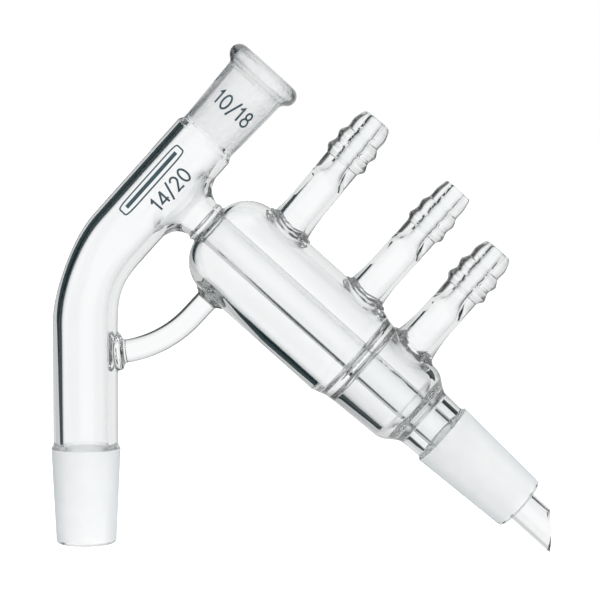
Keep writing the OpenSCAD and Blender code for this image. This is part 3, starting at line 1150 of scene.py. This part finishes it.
def make_world():
    """A white studio, a little darker at the left for what is reflected in the glass. It has
    dark flags behind on both sides, for light that one solid piece of glass has bent aside."""
    world = bpy.data.worlds.new("studio")
    bpy.context.scene.world = world
    world.use_nodes = True
    tree = world.node_tree
    tree.nodes.clear()

    def node(kind, operation=None, inputs=()):
        made = tree.nodes.new(kind)
        if operation:
            made.operation = operation
        for index, value in enumerate(inputs):
            if isinstance(value, bpy.types.NodeSocket):
                tree.links.new(value, made.inputs[index])
            elif value is not None:
                made.inputs[index].default_value = value
        return made

    def math_node(operation, *inputs):
        return node("ShaderNodeMath", operation, inputs).outputs[0]

    def ramp(value, low, high, start, end):
        """Flows from low to high as value goes from start to end."""
        made = node("ShaderNodeMapRange", inputs=(value, start, end, low, high))
        made.interpolation_type = "SMOOTHSTEP"
        return made.outputs[0]

    place = node("ShaderNodeTexCoord").outputs["Generated"]
    split = node("ShaderNodeSeparateXYZ", inputs=(place,))
    x, y, z = split.outputs
    path = node("ShaderNodeLightPath")

    # What glass reflects: darker at the left, dark at the right in front, and dimmer after the
    # first reflection
    light = ramp(x, ramp(z, 0.66, 0.85, -0.1, 0.25), 0.9, -0.35, 0.1)
    beside = math_node("MULTIPLY", ramp(x, 0.0, 0.9, 0.5, 0.7), ramp(y, 1.0, 0.0, 0.2, 0.5))
    later = ramp(path.outputs["Glossy Depth"], 1.0, 0.48, 1.4, 1.6)
    front = math_node("MULTIPLY", later, math_node("SUBTRACT", 1.0, beside))
    studio = math_node("MULTIPLY", light, front)
    scattered = math_node("GREATER_THAN", path.outputs["Diffuse Depth"], 0.5)
    glossy = math_node("GREATER_THAN", path.outputs["Glossy Depth"], 0.5)
    direct = math_node("SUBTRACT", 1.0, scattered)

    # What glass only bends: white, but for the flags, which one solid piece of glass shows
    across = math_node("MULTIPLY", x, DOWN_SLANT[0])
    aside = math_node("ADD", across, math_node("MULTIPLY", z, DOWN_SLANT[2]))
    sides = math_node("ADD", ramp(aside, 0.0, 0.96, 0.55, 0.7), ramp(aside, 0.9, 0.0, -0.85, -0.7))
    flags = math_node("MULTIPLY", sides, ramp(y, 0.0, 1.0, 0.3, 0.5))
    solid = math_node("COMPARE", path.outputs["Transmission Depth"], 2.0, 0.5)
    flagged = math_node("MULTIPLY", math_node("MULTIPLY", solid, direct), flags)
    backdrop = math_node("SUBTRACT", 1.0, flagged)
    reflected = math_node("MULTIPLY", glossy, direct)
    seen = node("ShaderNodeMix", inputs=(reflected, None, backdrop, studio)).outputs[0]

    # What lights frosted glass and the floor comes more from the right
    lit = math_node("MULTIPLY", scattered, ramp(x, -0.55, 0.95, -0.9, 0.1))
    background = node("ShaderNodeBackground")
    tree.links.new(math_node("ADD", seen, lit), background.inputs["Strength"])
    background.inputs["Color"].default_value = (1, 1, 1, 1)
    output = node("ShaderNodeOutputWorld")
    tree.links.new(background.outputs[0], output.inputs["Surface"])


CARD_Y = 100.0

# Corners of the black cards that stand behind the head, along the condenser and square to it
CARDS = {
    "left_card": [
        (-420, -385), (-420, 12), (-16, 9), (-18, -25), (-36, -104), (-47, -149), (-253, -385)
    ],
    "high_card": [(-420, 8), (-420, 32), (-30, 44), (-30, 20)],
    "low_card": [
        (29, -320), (29, -170), (35, -95), (42, -51), (54, -60), (84, -100), (120, -320)
    ],
    "right_card": [(72, 55), (72, 170), (130, 170), (130, 55)],
}


def black_card():
    """Dark teal card, which shows only in light that has been reflected inside the glass, and
    so draws the dark line along a tube's edge without darkening what is behind the tube."""
    shader = Shader("black_card")
    shade = shader.ramp(shader.noise(20.0), (0.006, 0.02, 0.024, 1), (0.012, 0.028, 0.032, 1))
    card = shader.node("ShaderNodeEmission", Color=shade)
    path = shader.node("ShaderNodeLightPath")
    reflected = shader.math("GREATER_THAN", path.outputs["Glossy Depth"], 0.5)
    direct = shader.math("LESS_THAN", path.outputs["Diffuse Depth"], 0.5)
    shown = shader.math("MULTIPLY", reflected, direct)
    return shader.finish(shader.blend(shown, shader.see_through(), card.outputs["Emission"]))


def make_cards():
    material = black_card()
    for name, corners in CARDS.items():
        places = [
            (condenser.at(w) + v * np.array(UP_SLANT) + (0, CARD_Y, 0)) * MM for w, v in corners
        ]
        mesh = bpy.data.meshes.new(name)
        mesh.from_pydata([tuple(p) for p in places], [], [tuple(range(len(places)))])
        mesh.materials.append(material)
        card = new_object(name, mesh)
        card.visible_camera = False
        card.visible_diffuse = False
        card.visible_shadow = False


def set_light_paths():
    """Enough bounces for light that is guided along the glass walls."""
    cycles = bpy.context.scene.cycles
    cycles.max_bounces = 32
    cycles.glossy_bounces = 24
    cycles.transmission_bounces = 32
    cycles.transparent_max_bounces = 32
    bpy.context.scene.view_settings.view_transform = "Standard"


# ----------------------------------------------------------------------
# Assembly
# ----------------------------------------------------------------------


def make_glass():
    """The mesh of the whole glass, cut and shared out over the frame's pieces."""
    low = np.array([cad_box[0][i] for i in range(3)]) / MM - MARGIN
    high = np.array([cad_box[1][i] for i in range(3)]) / MM + MARGIN
    vertices, quads = surface_mesh(glass, low, high, CELL)
    vertices, triangles = thinned(vertices, quads, glass)
    vertices, faces = cut_mesh(vertices, triangles, CUTS)
    names = piece_names(face_centres(vertices, faces))
    clear, seam = clear_glass(), fused_seam()
    ground_cone = ground_glass("ground_borosilicate", 0.0)
    ground_socket = ground_glass("ground_socket_borosilicate", 0.62)
    for name in sorted(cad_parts):
        own = [faces[i] for i in np.nonzero(names == name)[0]]
        materials = [clear, seam]
        if name in JOINTS:
            materials.append(ground_socket if name == "thermometer_joint" else ground_cone)
        make_piece(name, vertices, own, materials)


make_camera()
make_floor()
make_world()
make_cards()
set_light_paths()
make_glass()
make_marks()
